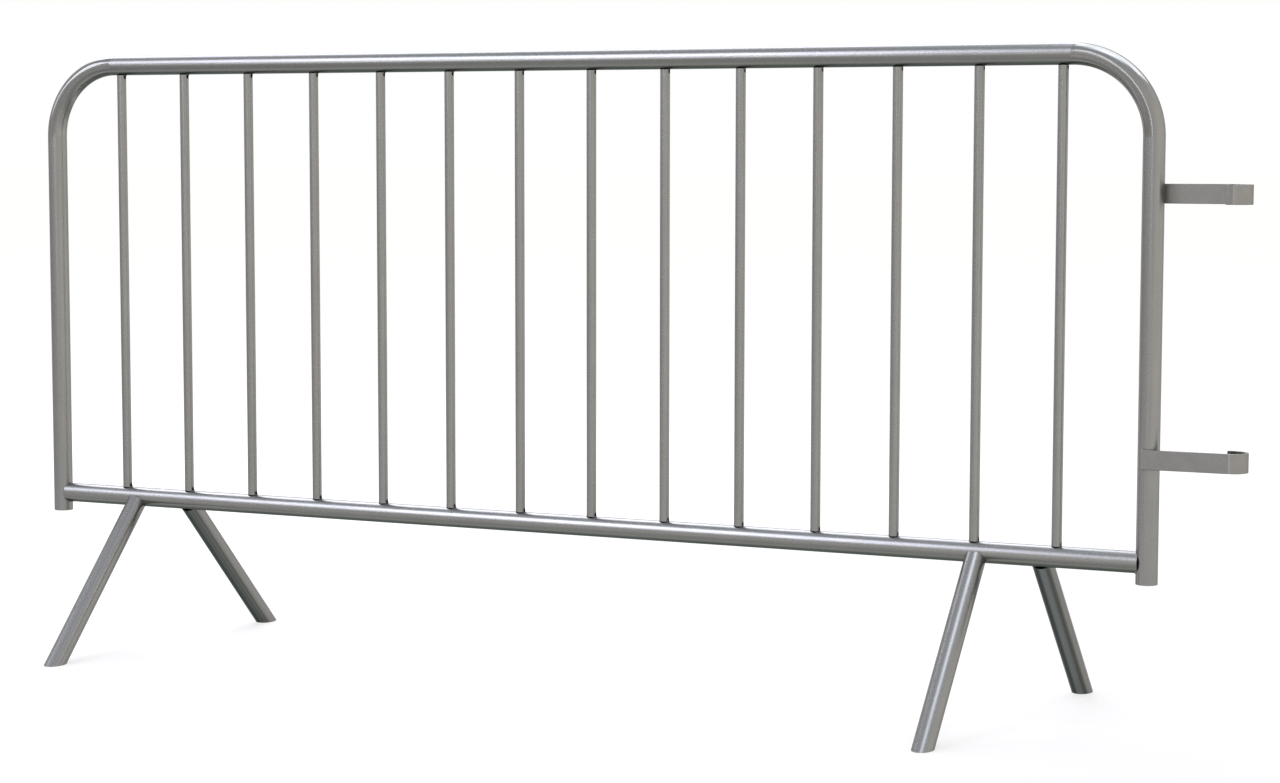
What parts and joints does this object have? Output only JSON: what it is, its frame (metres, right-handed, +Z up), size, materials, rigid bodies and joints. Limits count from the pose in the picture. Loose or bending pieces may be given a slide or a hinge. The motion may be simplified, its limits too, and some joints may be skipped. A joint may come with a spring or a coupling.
{
  "type": "pedestrian barrier panel",
  "caption": "Free-standing steel crowd barrier panel: bent tube frame filled with upright bars, on splayed tube legs, with flat hooks on its end post that catch the next panel's plain post.",
  "frame": {"origin": "on the ground, under the middle of the outline of the panel with its hooks", "axes": "+X along the panel from the plain post to the post with the hooks, +Y from the front of the panel to its rear, +Z up"},
  "size_m": [2.1668, 0.5696, 1.05],
  "materials": {
    "galvanised_tube": "satin zinc coating on round steel tube",
    "galvanised_strap": "matt, slightly mottled zinc coating on flat steel",
    "galvanised_weld": "matt zinc-coated weld bead"
  },
  "bodies": {
    "root": {"frame_tube": "galvanised_tube", "bottom_rail": "galvanised_tube", "bar_01": "galvanised_tube", "bar_02": "galvanised_tube", "bar_03": "galvanised_tube", "bar_04": "galvanised_tube", "bar_05": "galvanised_tube", "bar_06": "galvanised_tube", "bar_07": "galvanised_tube", "bar_08": "galvanised_tube", "bar_09": "galvanised_tube", "bar_10": "galvanised_tube", "bar_11": "galvanised_tube", "bar_12": "galvanised_tube", "bar_13": "galvanised_tube", "bar_14": "galvanised_tube", "front_left_leg": "galvanised_tube", "rear_left_leg": "galvanised_tube", "front_right_leg": "galvanised_tube", "rear_right_leg": "galvanised_tube", "upper_hook": "galvanised_strap", "lower_hook": "galvanised_strap", "bar_top_welds": "galvanised_weld", "bar_bottom_welds": "galvanised_weld", "rail_welds": "galvanised_weld", "leg_welds": "galvanised_weld", "hook_welds": "galvanised_weld"}
  },
  "joints": []
}
